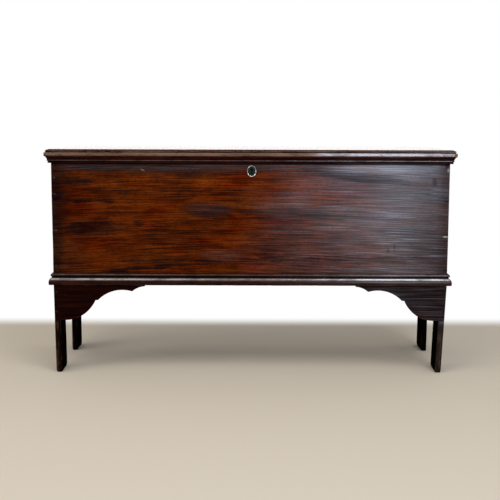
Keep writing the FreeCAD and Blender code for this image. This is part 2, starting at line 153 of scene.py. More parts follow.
def straightened(loop):
    """Closed outline without the points that lie on a straight stretch."""
    kept = []
    for index, here in enumerate(loop):
        before = here - loop[index - 1]
        after = loop[(index + 1) % len(loop)] - here
        if before.length > weld and after.length > weld and before.angle(after) > straight_angle:
            kept.append(here)
    return kept


def outline_length(loop):
    return sum((here - loop[index - 1]).length for index, here in enumerate(loop))


def outlines(node, axis, place):
    """Closed outlines where a plane across an axis cuts a CAD node, the longest first."""
    bm = cad_copy(node)
    cut = cut_across(bm, axis, place)["geom_cut"]
    left = [item for item in cut if isinstance(item, bmesh.types.BMEdge)]
    loops = []
    while left:
        start, here = left.pop(0).verts
        loop = [start.co.copy()]
        while here is not start:
            loop.append(here.co.copy())
            edge = next(item for item in left if here in item.verts)
            left.remove(edge)
            here = edge.other_vert(here)
        loops.append(straightened(loop))
    bm.free()
    return sorted(loops, key=outline_length, reverse=True)


def gridded(bm, axis, step):
    """Cut a mesh across an axis into even steps, so that it can be bent and worn."""
    places = [vert.co[axis] for vert in bm.verts]
    low, high = min(places), max(places)
    count = max(1, round((high - low) / step))
    for index in range(1, count):
        cut_across(bm, axis, low + (high - low) * index / count)


def eased(bm, arris):
    """Round the arrises of a closed mesh over."""
    bmesh.ops.recalc_face_normals(bm, faces=bm.faces)
    sharp = [edge for edge in bm.edges if len(edge.link_faces) == 2 and edge.calc_face_angle() > sharp_angle]
    bmesh.ops.bevel(bm, geom=sharp, offset=arris, segments=arris_segments, profile=arris_profile,
                    affect="EDGES", clamp_overlap=True)
    bmesh.ops.remove_doubles(bm, verts=bm.verts, dist=weld)


def value_layer(bm, label):
    return bm.verts.layers.float.get(label) or bm.verts.layers.float.new(label)


def mark_arrises(bm):
    """Write how worn each point is, 1 on an outer arris, and how deep in a crease, 1 in a sharp hollow, where
    the finishes paint shade.
    """
    for label in ("wear", "hollow"):
        value_layer(bm, label)
    worn = value_layer(bm, "wear")
    painted_shade = value_layer(bm, "hollow")
    bm.normal_update()
    for vert in bm.verts:
        turns = [edge.calc_face_angle_signed() for edge in vert.link_edges if len(edge.link_faces) == 2]
        vert[worn] = ramp(max(turns), sharp_angle / 2, sharp_angle)
        vert[painted_shade] = ramp(-min(turns), sharp_angle / 2, sharp_angle)


def weathered(bm, seed, swell, swell_size, nick, nick_size, nick_level):
    """Move the surface in and out: long swells everywhere, and small nicks on the arrises."""
    layer = value_layer(bm, "wear")
    bm.normal_update()
    shift = Vector((seed, seed * seed_skew, -seed))
    for vert in bm.verts:
        move = swell * noise.noise(vert.co / swell_size + shift)
        if vert[layer] > 0:
            bite = noise.noise(vert.co / nick_size - shift) - nick_level
            move -= vert[layer] * nick * max(0.0, bite) / (1 - nick_level)
        vert.co += vert.normal * move


def new_mesh(name, bm):
    mesh = bpy.data.meshes.new(name)
    bm.to_mesh(mesh)
    bm.free()
    return mesh


def new_object(name, data):
    item = bpy.data.objects.new(name, data)
    bpy.context.scene.collection.objects.link(item)
    return item


def placed(piece, material, body, node):
    """Piece with its finish, which rides on a body and stands for a CAD node."""
    piece.data.materials.clear()
    piece.data.materials.append(material)
    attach(piece, body)
    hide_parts(node)
    return piece


def made_piece(name, bm, material, body, node):
    """Finished mesh as a smooth piece with its creases kept."""
    for face in bm.faces:
        face.smooth = True
    for edge in bm.edges:
        edge.smooth = len(edge.link_faces) != 2 or edge.calc_face_angle() < shade_angle
    return placed(new_object(name, new_mesh(name, bm)), material, body, node)


# Shader helpers

def fill(node, inputs):
    """Set or link a node's inputs."""
    for key, value in inputs.items():
        if isinstance(value, bpy.types.NodeSocket):
            node.id_data.links.new(value, node.inputs[key])
        else:
            node.inputs[key].default_value = value


def add(kind, inputs, **settings):
    """Node in the tree of its linked inputs, with its settings, and its inputs set or linked."""
    tree = next(value.id_data for value in inputs.values() if isinstance(value, bpy.types.NodeSocket))
    node = tree.nodes.new(kind)
    for key, value in settings.items():
        setattr(node, key, value)
    fill(node, inputs)
    return node


def group_node(group, inputs):
    return add("ShaderNodeGroup", inputs, node_tree=group).outputs


def maths(operation, *values):
    return add("ShaderNodeMath", dict(enumerate(values)), operation=operation).outputs[0]


def plus(*values):
    return maths("ADD", *values)


def times(*values):
    return maths("MULTIPLY", *values)


def largest(*values):
    return maths("MAXIMUM", *values)


def remaining(share):
    """What a share leaves of 1."""
    return maths("SUBTRACT", 1.0, share)


def vectors(operation, *values):
    return add("ShaderNodeVectorMath", dict(enumerate(values)), operation=operation).outputs[0]


def split(vector):
    return add("ShaderNodeSeparateXYZ", {0: vector}).outputs


def joined(parts):
    """Vector from some of its parts, each given by its axis."""
    return add("ShaderNodeCombineXYZ", parts).outputs[0]


def ranged(value, low, high, new_low=0.0, new_high=1.0, kind="SMOOTHSTEP"):
    """Value that goes softly from one new end to the other while the old one goes from low to high."""
    inputs = {"Value": value, "From Min": low, "From Max": high, "To Min": new_low, "To Max": new_high}
    return add("ShaderNodeMapRange", inputs, interpolation_type=kind, clamp=True).outputs[0]


def evenly(value, low, high, new_low=0.0, new_high=1.0):
    """The same along a straight line."""
    return ranged(value, low, high, new_low, new_high, "LINEAR")


def between(share, first, second):
    return add("ShaderNodeMix", {0: share, 2: first, 3: second}).outputs[0]


def rgba(colour):
    """Colour as an input takes it: a socket as it is, and red, green and blue with full cover."""
    return colour if isinstance(colour, bpy.types.NodeSocket) else (*colour, 1.0)


def mixed(share, first, second, blend="MIX"):
    inputs = {0: share, 6: rgba(first), 7: rgba(second)}
    return add("ShaderNodeMix", inputs, data_type="RGBA", blend_type=blend).outputs[2]


def noisy(place, along, across, detail, roughness, seed=(0, 0, 0)):
    """Noise whose waves for each metre are counted along X and across it."""
    spread = vectors("MULTIPLY", place, (along, across, across))
    return add("ShaderNodeTexNoise", {
        "Vector": vectors("ADD", spread, seed), "Scale": 1.0, "Detail": detail,
        "Roughness": roughness}).outputs["Fac"]


def bumped(height, distance, strength):
    inputs = {"Height": height, "Distance": distance, "Strength": strength}
    return add("ShaderNodeBump", inputs).outputs[0]


def attribute(beside, label):
    """Value that a mesh carries, read in the tree of a socket."""
    node = beside.id_data.nodes.new("ShaderNodeAttribute")
    node.attribute_name = label
    return node.outputs["Fac"]


def new_material(name):
    material = bpy.data.materials.new(name)
    material.use_nodes = True
    tree = material.node_tree
    place = tree.nodes.new("ShaderNodeTexCoord").outputs["Object"]
    return material, tree.nodes["Principled BSDF"], place


def new_group(name, vector_inputs, value_inputs, outputs):
    """Empty shader group with its named sockets; all that it gives out are values."""
    tree = bpy.data.node_groups.new(name, "ShaderNodeTree")
    sockets = [(label, "INPUT", "NodeSocketVector") for label in vector_inputs]
    sockets += [(label, "INPUT", "NodeSocketFloat") for label in value_inputs]
    sockets += [(label, "OUTPUT", "NodeSocketFloat") for label in outputs]
    for label, way, kind in sockets:
        tree.interface.new_socket(label, in_out=way, socket_type=kind)
    return tree, tree.nodes.new("NodeGroupInput").outputs, tree.nodes.new("NodeGroupOutput")


# Shader groups

# Most of a noise's values lie between these two
noise_span = (0.3, 0.7)

# Layers of a plank's grain: waves for each metre along and across it, detail, roughness and seed.
# The clouds don't sway with the grain.
grain_layers = {
    "Streaks": (2.6, 75, 4.0, 0.62),
    "Fibres": (9, 440, 1.0, 0.6, (3.1, 5.2, 1.7)),
    "Glints": (6, 400, 0.0, 0.5, (5.8, 0.9, 7.4)),
    "Pores": (90, 400, 2.0, 0.6, (9.4, 2.6, 6.8)),
    "Mottle": (20, 48, 4.0, 0.66, (1.2, 6.6, 3.9)),
}
cloud_layers = {
    "Hues": (6, 18, 4.0, 0.6, (4.7, 3.3, 8.8)),
    "Patches": (3.0, 13, 3.0, 0.55, (7.3, 1.9, 4.4)),
}
sway_stretch = (1.6, 4.0, 4.0)
noise_middle = (0.5, 0.5, 0.5)
ring_wave = {"Distortion": 1.2, "Detail": 3.0, "Detail Scale": 1.4}

# Wear of the arrises: its patches, where they start and end, and where its edge starts
wear_patches = (16, 90, 4.0, 0.65)
wear_span = (0.30, 0.66)
wear_edge = 0.5

# Wax: where it grows across the chest, how its edge wanders and how it fades at the far end, how it covers
# patches and streaks, and how strongly it paints pale lines of sheen into the colour along fibres and glints
wax_clouds = (3, 9, 2.0, 0.5, (2.7, 8.1, 5.5))
wax_wander = (0.25, 0.75, -0.10, 0.10)
wax_reach = (-0.08, 0.43)
wax_power = 1.85
wax_fade = (0.40, 0.61, 1.0, 0.48)
wax_layers = {
    "Patches": (*noise_span, 0.54, 0.64), "Streaks": (0.32, 0.68, -0.06, 0.06),
    "Fibres": (0.48, 0.66, 0.0, 0.46), "Glints": (0.61, 0.68, 0.0, 0.90)}

# Edge of a mark, in shares of its size
mark_edge = (1.0, 0.35)


def plank_grain_group():
    """Grain of a sawn plank whose length lies along the place's X, arched by its lean."""
    tree, given, out = new_group(
        "Plank grain", ["Place"], ["Ring Scale", "Warp", "Lean"], ["Rings", *grain_layers, *cloud_layers])
    along = split(given["Place"])[X]
    rise = times(given["Lean"], times(along, along))
    arched = vectors("ADD", given["Place"], joined({Z: rise}))
    sway = add("ShaderNodeTexNoise",
               {"Vector": vectors("MULTIPLY", arched, sway_stretch), "Scale": 1.0, "Detail": 1.0})
    sway = vectors("SUBTRACT", sway.outputs["Color"], noise_middle)
    sway = add("ShaderNodeVectorMath", {0: sway, "Scale": given["Warp"]}, operation="SCALE").outputs[0]
    warped = vectors("ADD", arched, vectors("MULTIPLY", sway, axis_vector(Z)))
    rings = add("ShaderNodeTexWave", {"Vector": warped, "Scale": given["Ring Scale"], **ring_wave},
                wave_type="RINGS", rings_direction="X", wave_profile="SAW")
    fill(out, {"Rings": rings.outputs["Fac"]})
    for place, layers in ((warped, grain_layers), (arched, cloud_layers)):
        for label, layer in layers.items():
            fill(out, {label: noisy(place, *layer)})
    return tree


def edge_wear_group():
    """Line of wear where a piece is most exposed, broken up along the grain."""
    tree, given, out = new_group("Edge wear", ["Place"], ["Exposed", "Amount"], ["Mask"])
    patchy = noisy(given["Place"], *wear_patches)
    least = remaining(given["Amount"])
    worn = times(given["Exposed"], ranged(patchy, *wear_span))
    fill(out, {"Mask": ranged(worn, times(least, wear_edge), least)})
    return tree


def bare_inside_group():
    """Mask of the unfinished wood that faces the inside of the chest."""
    tree, given, out = new_group("Bare inside", ["Place", "Low", "High"], [], ["Mask"])
    above = split(vectors("SUBTRACT", given["Place"], given["Low"]))
    below = split(vectors("SUBTRACT", given["High"], given["Place"]))
    mask = 1.0
    for distance in above[:] + below[:]:
        mask = times(mask, maths("GREATER_THAN", distance, 0.0))
    fill(out, {"Mask": mask})
    return tree


def wax_sheen_group():
    """Polish that grows from one end of the chest to the other, and pale lines of painted sheen along the
    grain.
    """
    tree, given, out = new_group(
        "Wax sheen", ["Place"], [*wax_layers, "Dull", "Bright", "Haze"], ["Weight", "Share", "Sheen Lines"])
    across = split(given["Place"])[X]
    cloud = noisy(given["Place"], *wax_clouds)
    reach = plus(across, evenly(cloud, *wax_wander))
    rise = maths("POWER", evenly(reach, *wax_reach), wax_power)
    share = times(rise, ranged(across, *wax_fade))
    weight = plus(between(share, given["Dull"], given["Bright"]), given["Haze"])
    patches, streaks, fibres, glints = (
        evenly(given[label], *span) for label, span in wax_layers.items())
    cover = plus(patches, streaks)
    sheen_lines = plus(fibres, glints)
    fill(out, {"Weight": maths("MINIMUM", times(weight, cover), 1.0)})
    fill(out, {"Share": share})
    fill(out, {"Sheen Lines": times(weight, sheen_lines)})
    return tree


def mark_group():
    """Soft-edged mark on the front: its middle, half its length and height, and how it climbs."""
    tree, given, out = new_group(
        "Mark", ["Place", "Middle", "Half Size"], ["Climb", "Ragged", "Tear"], ["Mask"])
    parts = split(vectors("SUBTRACT", given["Place"], given["Middle"]))
    level = maths("SUBTRACT", parts[Z], times(parts[X], given["Climb"]))
    spread = vectors("DIVIDE", joined({X: parts[X], Z: level}), given["Half Size"])
    reach = add("ShaderNodeVectorMath", {0: spread}, operation="LENGTH").outputs["Value"]
    rough = times(given["Tear"], evenly(given["Ragged"], *noise_span, -1.0, 1.0))
    fill(out, {"Mask": ranged(plus(reach, rough), *mark_edge)})
    return tree


plank_grain = plank_grain_group()
edge_wear = edge_wear_group()
bare_inside = bare_inside_group()
wax_sheen = wax_sheen_group()
mark = mark_group()


# Wood

# Turns that lay the grain along X, along Y and along Z
grain_turns = {X: (0, 0, 0), Y: (0, 0, math.radians(-90)), Z: (0, math.radians(90), 0)}

# Share of the rings and of each layer in the grain's lightness, and where it goes from tone to tone
ring_share = 0.08
tone_shares = {"Streaks": 0.10, "Patches": 0.28, "Mottle": 0.21, "Fibres": 0.35}
dark_to_middle = (0.28, 0.51)
middle_to_light = (0.50, 0.74)

# How a plank's colour drifts to maroon and to olive, and how it changes in stains, in the painted shadow
# under the lid, and in warm spots
hue_drifts = [((0.50, 0.64), (0.95, 0.58, 0.50)), ((0.48, 0.34), (0.98, 1.22, 1.30))]
stain_and_shade_shift = (0.30, 0.55, 2.3)
warm_shift = (1.6, 1.7, 1.6)

# How far the grain tears a mark's edge: in shares of its size, in metres, and by its half length
full_tear = 1.2
torn_reach = 0.006
torn_share = 20.0

# Colours of pores, dirt and painted shade in hollows, of the pale lines of painted sheen, of chips and of
# bare wood, which shows a hair past the inside faces of the case
pore_dirt_and_shade_tone = (0.0025, 0.0012, 0.001)
painted_sheen_tone = (0.165, 0.17, 0.215)
chip_tone = (0.30, 0.25, 0.21)
bare_tone = (0.19, 0.115, 0.062)
bare_dark_tone = (0.095, 0.0575, 0.031)
bare_margin = Vector((0.0008, 0.0008, 0.0008))
bare_low = Vector((-inner_half_length, inner_front_y, floor_top)) - bare_margin
bare_high = Vector((inner_half_length, inner_back_y, case_top)) + bare_margin
bare_roughness = 0.3

# Pores, roughness and relief of the grain
pore_pits = (0.52, 0.66, 0.0, 0.5)
smoother = 0.06
rougher = 0.1
streak_relief = 1.5
wood_bump = 0.6

# Bands that wear rubs bright: how softly they end, how bare they are, and how mottle and pores break them
rub_edge = 0.0005
rub_bare = 0.45
rub_gaps = (0.36, 0.56, 0.5, 1.0)
rub_pits = (0.60, 0.70, 1.0, 0.3)

# Dirt and painted shade under the lid's moulding and under the base moulding: how far it reaches down, its
# edge and its cover
lid_dirt_and_shade = 0.0045
base_dirt_and_shade = 0.0050
dirt_and_shade_edge = 0.0012
dirt_and_shade_cover = 0.85

# Legs darker towards the floor, dirt and painted shade: how softly it starts, its cover on outer and on
# turned-in faces, and where it is full
leg_darkening_edge = 0.03
leg_dirt_and_shade_cover = (0.45, 0.88)
leg_shade = (front_y + 0.002, front_y + 0.006)


def grain_tone(figure):
    """Lightness of the grain, from its rings, streaks, patches, mottle and fibres."""
    tone = times(figure["Rings"], ring_share)
    for label, share in tone_shares.items():
        tone = plus(tone, evenly(figure[label], *noise_span, 0.0, share))
    return tone


def all_marks(place, figure, marks):
    """Strongest cover of a list of marks, for each strength in a row; long ones tear with the grain."""
    ragged = times(plus(figure["Mottle"], figure["Fibres"]), 0.5)
    covers = [0.0, 0.0]
    for x, z, half_long, half_high, climb, *strengths in marks:
        tear = min(full_tear, torn_reach / half_high, torn_share * half_long)
        mask = group_node(mark, {
            "Place": place, "Middle": (x, 0, z), "Half Size": (half_long, 1, half_high), "Climb": climb,
            "Ragged": ragged, "Tear": tear})["Mask"]
        for index, strength in enumerate(strengths):
            covers[index] = largest(covers[index], times(mask, strength))
    return covers


def banded(height, low, high, edge):
    """Mask of the heights between two levels, with soft edges."""
    above = ranged(height, low - edge, low + edge)
    return times(above, ranged(height, high + edge, high - edge))


def arris_mask(place, amount):
    inputs = {"Exposed": attribute(place, "wear"), "Place": place, "Amount": amount}
    return group_node(edge_wear, inputs)["Mask"]


def wood(name, grain, shift, tones, worn, wear, polish, rings=9.0, warp=0.014, lean=0.0, gloss=0.5,
         relief=0.00035, coat_rough=0.30, coat_ior=1.5, even_wax=0.0, marks=(), warm=(), haze=(), chips=(),
         rubbed=(), dirt_and_shade_bands=(), dark_below=0.0):
    """Stained and waxed plank: grain along an axis, worn arrises, bare wood on the inside.

    Marks stain the wood, or paint the shadow of an overhang on it, and dull its wax; warm ones redden it,
    hazy ones shine,
    chips bare it. Rubbed bands shine too: each has a low and a high edge and its weight at the dull and at
    the bright end of the chest. Bands of dirt and painted shade, under an overhang or in a groove, have the
    same two edges.
    Even wax is the least weight of the polish all over, and pale lines of painted sheen follow the grain.
    """
    material, shader, place = new_material(name)
    depth, height = split(place)[Y:]
    turned = add("ShaderNodeMapping",
                 {"Vector": place, "Rotation": grain_turns[grain], "Location": shift}).outputs[0]
    figure = group_node(plank_grain, {"Place": turned, "Ring Scale": rings, "Warp": warp, "Lean": lean})
    tone = grain_tone(figure)
    dark, middle, light = tones
    colour = mixed(evenly(tone, *dark_to_middle), dark, middle)
    colour = mixed(evenly(tone, *middle_to_light), colour, light)
    for span, hue in hue_drifts:
        colour = mixed(ranged(figure["Hues"], *span), colour, hue, "MULTIPLY")
    wax_inputs = {label: figure[label] for label in wax_layers}
    wax_inputs["Dull"], wax_inputs["Bright"] = polish
    wax_inputs["Haze"] = all_marks(place, figure, haze)[0] if haze else 0.0
    wax = group_node(wax_sheen, {"Place": place, **wax_inputs})
    sheen, sheen_lines = wax["Weight"], wax["Sheen Lines"]
    if warm:
        colour = mixed(all_marks(place, figure, warm)[0], colour, warm_shift, "MULTIPLY")
    if marks:
        stain_and_shade, dulled = all_marks(place, figure, marks)
        colour = mixed(stain_and_shade, colour, stain_and_shade_shift, "MULTIPLY")
        sheen, sheen_lines = (times(part, remaining(dulled)) for part in (sheen, sheen_lines))
    # Painted sheen: pale lines along the grain, painted into the colour
    colour = mixed(sheen_lines, colour, painted_sheen_tone)
    colour = mixed(ranged(figure["Pores"], *pore_pits), colour, pore_dirt_and_shade_tone)
    broken = times(ranged(figure["Mottle"], *rub_gaps), ranged(figure["Pores"], *rub_pits))
    for band_low, band_high, dull_weight, bright_weight in rubbed:
        band = banded(height, band_low, band_high, rub_edge)
        weight = times(between(wax["Share"], dull_weight, bright_weight), broken)
        sheen = largest(sheen, times(band, weight))
        colour = mixed(times(band, times(broken, rub_bare)), colour, worn)
    sheen = maths("MINIMUM", largest(sheen, even_wax), 1.0)
    # Legs darker towards the floor: dirt, painted shade on turned-in faces and painted shadow on the faces
    # behind the front
    if dark_below:
        below = ranged(height, dark_below + leg_darkening_edge, dark_below - leg_darkening_edge)
        turned_in = attribute(place, "turned_in")
        leg_dirt_and_shade = times(below, ranged(turned_in, 0.0, 1.0, *leg_dirt_and_shade_cover))
        shaded = times(times(below, ranged(depth, *leg_shade)), turned_in)
        for cover in (leg_dirt_and_shade, shaded):
            colour = mixed(cover, colour, pore_dirt_and_shade_tone)
        sheen = times(sheen, remaining(shaded))
    colour = mixed(arris_mask(turned, wear), colour, worn)
    if chips:
        colour = mixed(all_marks(place, figure, chips)[0], colour, chip_tone)
    # Painted shade: creases, and the bands of dirt and painted shade, turn near black and lose their wax
    painted_shade = attribute(place, "hollow")
    for band_low, band_high in dirt_and_shade_bands:
        band = banded(height, band_low, band_high, dirt_and_shade_edge)
        painted_shade = largest(painted_shade, times(band, dirt_and_shade_cover))
    colour = mixed(painted_shade, colour, pore_dirt_and_shade_tone)
    inside = group_node(bare_inside, {"Place": place, "Low": bare_low, "High": bare_high})["Mask"]
    plain = mixed(ranged(tone, *noise_span), bare_dark_tone, bare_tone)
    rough = evenly(figure["Streaks"], *noise_span, gloss - smoother, gloss + rougher)
    raised = plus(figure["Fibres"], times(figure["Streaks"], streak_relief))
    fill(shader, {
        "Base Color": mixed(inside, colour, plain),
        "Coat Weight": times(sheen, remaining(largest(inside, painted_shade))),
        "Coat Roughness": coat_rough, "Coat IOR": coat_ior, "Specular IOR Level": 0.0,
        "Roughness": plus(rough, times(inside, bare_roughness)),
        "Normal": bumped(raised, relief, wood_bump)})
    return material


# Marks on the front board: x, z, half length, half height, climb to the right, stain and dulling.
# Broad ones come first: the strip under the lid, stain and painted shadow of the lid's overhang, the two
# ends, then stains, dark lines and knots.
front_marks = [
    (-0.250, 0.652, 0.640, 0.046, 0.0, 0.85, 0.0),
    (-0.624, 0.480, 0.072, 1.500, 0.0, 1.0, 0.5),
    (0.626, 0.470, 0.060, 1.500, 0.0, 0.95, 0.5),
    (0.600, 0.470, 0.360, 0.600, 0.0, 0.85, 0.0),
    (-0.600, 0.620, 0.050, 0.060, 0.0, 0.90, 0.3),
    (-0.560, 0.370, 0.090, 0.090, 0.0, 0.45, 0.3),
    (-0.543, 0.600, 0.080, 0.024, 0.0, 0.70, 0.5),
    (-0.490, 0.455, 0.140, 0.036, 0.05, 0.85, 0.5),
    (-0.345, 0.468, 0.024, 0.014, -0.2, 0.85, 0.5),
    (-0.280, 0.446, 0.060, 0.014, 0.0, 0.65, 0.5),
    (-0.115, 0.512, 0.130, 0.030, 0.0, 0.65, 0.4),
    (-0.494, 0.541, 0.170, 0.009, 0.0, 0.95, 0.5),
    (-0.245, 0.340, 0.290, 0.012, 0.10, 1.0, 0.6),
    (0.100, 0.359, 0.260, 0.010, 0.0, 0.75, 0.4),
    (0.370, 0.358, 0.320, 0.016, -0.01, 0.95, 0.35),
    (0.345, 0.613, 0.320, 0.026, -0.125, 0.95, 0.34),
    (0.320, 0.490, 0.260, 0.014, -0.05, 0.80, 0.15),
    (0.480, 0.450, 0.200, 0.012, -0.04, 0.80, 0.15),
    (0.566, 0.600, 0.012, 0.022, 0.0, 1.0, 0.45),
    (0.594, 0.597, 0.010, 0.021, 0.0, 1.0, 0.45),
    (0.603, 0.649, 0.012, 0.012, 0.0, 0.95, 0.8),
    (0.430, 0.611, 0.007, 0.010, 0.0, 0.50, 0.3),
    (0.427, 0.387, 0.008, 0.010, 0.0, 0.80, 0.5),
    (0.447, 0.398, 0.003, 0.017, 0.0, 0.90, 0.6),
    (0.606, 0.541, 0.016, 0.005, 0.0, 1.0, 1.0),
    (0.606, 0.437, 0.014, 0.005, 0.0, 1.0, 1.0),
    (0.606, 0.327, 0.014, 0.005, 0.0, 1.0, 1.0),
]

# Warm spots, haze and chips: the same values, but with one strength
front_warm = [
    (-0.230, 0.590, 0.420, 0.050, 0.0, 0.85),
    (-0.370, 0.352, 0.150, 0.018, 0.08, 0.65),
    (-0.200, 0.400, 0.240, 0.040, 0.03, 0.45),
    (0.360, 0.340, 0.300, 0.016, 0.0, 0.45),
    (0.340, 0.540, 0.240, 0.040, -0.08, 0.90),
]
front_haze = [
    (-0.250, 0.652, 0.640, 0.030, 0.0, 0.19),
    (0.080, 0.400, 0.160, 0.100, 0.0, 0.06),
    (0.100, 0.520, 0.110, 0.034, -0.03, 0.14),
    (-0.080, 0.370, 0.090, 0.024, 0.0, 0.16),
    (-0.130, 0.515, 0.090, 0.028, 0.0, 0.14),
    (0.410, 0.640, 0.250, 0.020, 0.0, 0.42),
]
front_chips = [
    (-0.332, 0.635, 0.010, 0.003, -0.3, 0.40),
    (0.604, 0.431, 0.012, 0.004, 0.0, 1.0),
    (0.608, 0.636, 0.006, 0.008, 0.0, 0.60),
    (-0.603, 0.448, 0.009, 0.002, 0.0, 0.35),
]


def levels(low, height, *shares):
    return [low + share * height for share in shares]


# Heights that wear, and dirt and painted shade, follow on the mouldings and on the lid's nose
slope_low, slope_middle, slope_high = levels(base_low.z, base_height, 0.38, 0.48, 0.63)
base_groove = levels(base_low.z, base_height, 0.66, 0.77)
base_bead = levels(base_low.z, base_height, 0.83, 0.91)
nose_low, nose_high = levels(lid_low.z, lid_thickness, 0.16, 0.56)
lid_bead = levels(lid_moulding_low, lid_moulding_height, 0.36, 0.46)

# Finishes of the wood: dark, middle and light tone, and the tone of the wear
front_wood = wood(
    "Stained front board", X, (0.0, 0.30, -0.43),
    [(0.014, 0.0034, 0.0020), (0.062, 0.0104, 0.0014), (0.145, 0.0245, 0.0022)], (0.10, 0.052, 0.031),
    wear=0.12, polish=(0.0, 0.84), rings=8.0, warp=0.009, lean=0.035, coat_ior=1.8,
    marks=front_marks, warm=front_warm, haze=front_haze, chips=front_chips,
    dirt_and_shade_bands=[(lid_moulding_low - lid_dirt_and_shade, case_top)])
lid_grain = (0.7, 0.22, -0.60)
lid_edge_wood = wood(
    "Stained lid edge", X, lid_grain,
    [(0.024, 0.010, 0.006), (0.056, 0.023, 0.011), (0.100, 0.042, 0.020)], (0.280, 0.150, 0.094),
    wear=0.4, polish=(0.1, 0.4), coat_rough=0.08, coat_ior=1.6, rubbed=[(nose_low, nose_high, 0.45, 1.6)])
lid_top_wood = wood(
    "Stained lid top", X, lid_grain,
    [(0.012, 0.0045, 0.003), (0.050, 0.019, 0.009), (0.115, 0.047, 0.021)], (0.060, 0.024, 0.012),
    wear=0.4, polish=(0.05, 0.15), coat_rough=0.12, coat_ior=1.05, even_wax=0.4)
moulding_worn = (0.09, 0.042, 0.026)
base_look = {
    "tones": [(0.008, 0.0028, 0.0022), (0.020, 0.0062, 0.0040), (0.040, 0.0125, 0.0072)],
    "worn": moulding_worn, "wear": 0.3, "coat_rough": 0.2, "coat_ior": 3.0, "dirt_and_shade_bands": [base_groove],
    "rubbed": [(slope_low, slope_middle, 0.25, 0.2), (slope_middle, slope_high, 0.55, 1.35),
               (*base_bead, 0.10, 0.25)]}
base_wood = wood("Stained base moulding", X, (1.9, 0.41, 0.77), polish=(0.01, 0.11), **base_look)
base_end_wood = wood("Stained end base moulding", Y, (0.9, 0.31, 0.52), polish=(0.01, 0.08), **base_look)
lid_moulding_look = {
    "tones": [(0.007, 0.0015, 0.0012), (0.019, 0.0040, 0.0027), (0.038, 0.0080, 0.0048)],
    "worn": moulding_worn, "wear": 0.2, "polish": (0.0, 0.05), "coat_rough": 0.2, "coat_ior": 1.8,
    "rubbed": [(*lid_bead, 0.6, 1.3)]}
lid_moulding_wood = wood("Stained lid moulding", X, (1.2, 0.83, 0.37), **lid_moulding_look)
lid_end_moulding_wood = wood("Stained lid end moulding", Y, (1.7, 0.56, 0.12), **lid_moulding_look)
bracket_wood = wood(
    "Stained bracket", X, (2.7, 0.11, 0.24),
    [(0.0034, 0.0010, 0.0009), (0.0095, 0.0022, 0.0014), (0.019, 0.0044, 0.0026)], (0.06, 0.03, 0.018),
    wear=0.2, polish=(0.0, 0.36), dirt_and_shade_bands=[(base_low.z - base_dirt_and_shade, base_high.z)])
end_wood = wood(
    "Stained end board", Z, (0.4, 0.26, 0.9),
    [(0.011, 0.0036, 0.003), (0.038, 0.0095, 0.0036), (0.072, 0.018, 0.0055)], (0.046, 0.021, 0.012),
    wear=0.12, polish=(0.0, 0.45), rings=7.0, coat_ior=1.8, dark_below=base_low.z)
back_wood = wood(
    "Plain back board", X, (1.3, 0.7, 0.2),
    [(0.028, 0.015, 0.009), (0.07, 0.038, 0.022), (0.12, 0.07, 0.042)], (0.13, 0.08, 0.05),
    wear=0.3, polish=(0.0, 0.05), gloss=0.72, relief=0.0006)
plain_wood = wood(
    "Plain inner boards", X, (0.2, 1.6, 0.5),
    [(0.06, 0.034, 0.019), (0.13, 0.078, 0.042), (0.19, 0.12, 0.068)], (0.24, 0.16, 0.1),
    wear=0.4, polish=(0.0, 0.03), gloss=0.78, relief=0.0006)


# Metal

# Iron: its scale and rust spots, how softly rust ends, how worn and bright its arrises are, its finish
iron_scale = (140, 140, 5.0, 0.6)
rust_spots = (55, 55, 4.0, 0.65, (4.2, 1.1, 6.3))
rust_edge = 0.14
rust_metal = 0.1
iron_wear = 0.6
iron_rub_gain = 1.8
iron_roughness = (0.42, 0.62)
iron_bump = (0.0004, 0.7)

# Keyhole plate: its tarnish, where its rim is rubbed, the rim's depth, its two colours and its finish
plate_tarnish = (420, 420, 4.0, 0.6)
plate_rubs = (150, 150, 2.0, 0.5, (1.3, 4.4, 2.9))
plate_rub_span = (0.42, 0.62, 0.2, 1.0)
plate_rim = (escutcheon_low.y + 0.0004, escutcheon_low.y + 0.0001)
plate_dark_tones = [(0.006, 0.008, 0.006), (0.020, 0.024, 0.019)]
plate_bright_tone = (0.75, 0.73, 0.68)
plate_roughness = (0.5, 0.28)
plate_bump = (0.0002, 0.5)


def iron(name, dark, light, rust, rust_level, metal=0.9, shine=0.5):
    """Forged iron: dark scale, brighter rubs and some rust."""
    material, shader, place = new_material(name)
    scale = noisy(place, *iron_scale)
    rusty = ranged(noisy(place, *rust_spots), rust_level, rust_level + rust_edge)
    colour = mixed(ranged(scale, *noise_span), dark, light)
    bright = [part * iron_rub_gain for part in light]
    colour = mixed(arris_mask(place, iron_wear), colour, bright)
    fill(shader, {
        "Base Color": mixed(rusty, colour, rust),
        "Metallic": ranged(rusty, 0.0, 1.0, metal, rust_metal),
        "Roughness": ranged(scale, *noise_span, *iron_roughness), "Specular IOR Level": shine,
        "Normal": bumped(scale, *iron_bump)})
    return material


def escutcheon_metal():
    """Dark oval plate whose raised rim is rubbed bright."""
    material, shader, place = new_material("Escutcheon metal")
    rim = ranged(split(place)[Y], *plate_rim)
    tarnish = noisy(place, *plate_tarnish)
    bright = times(rim, ranged(noisy(place, *plate_rubs), *plate_rub_span))
    colour = mixed(ranged(tarnish, *noise_span), *plate_dark_tones)
    fill(shader, {
        "Base Color": mixed(bright, colour, plate_bright_tone), "Metallic": 1.0,
        "Roughness": evenly(bright, 0.0, 1.0, *plate_roughness),
        "Normal": bumped(tarnish, *plate_bump)})
    return material


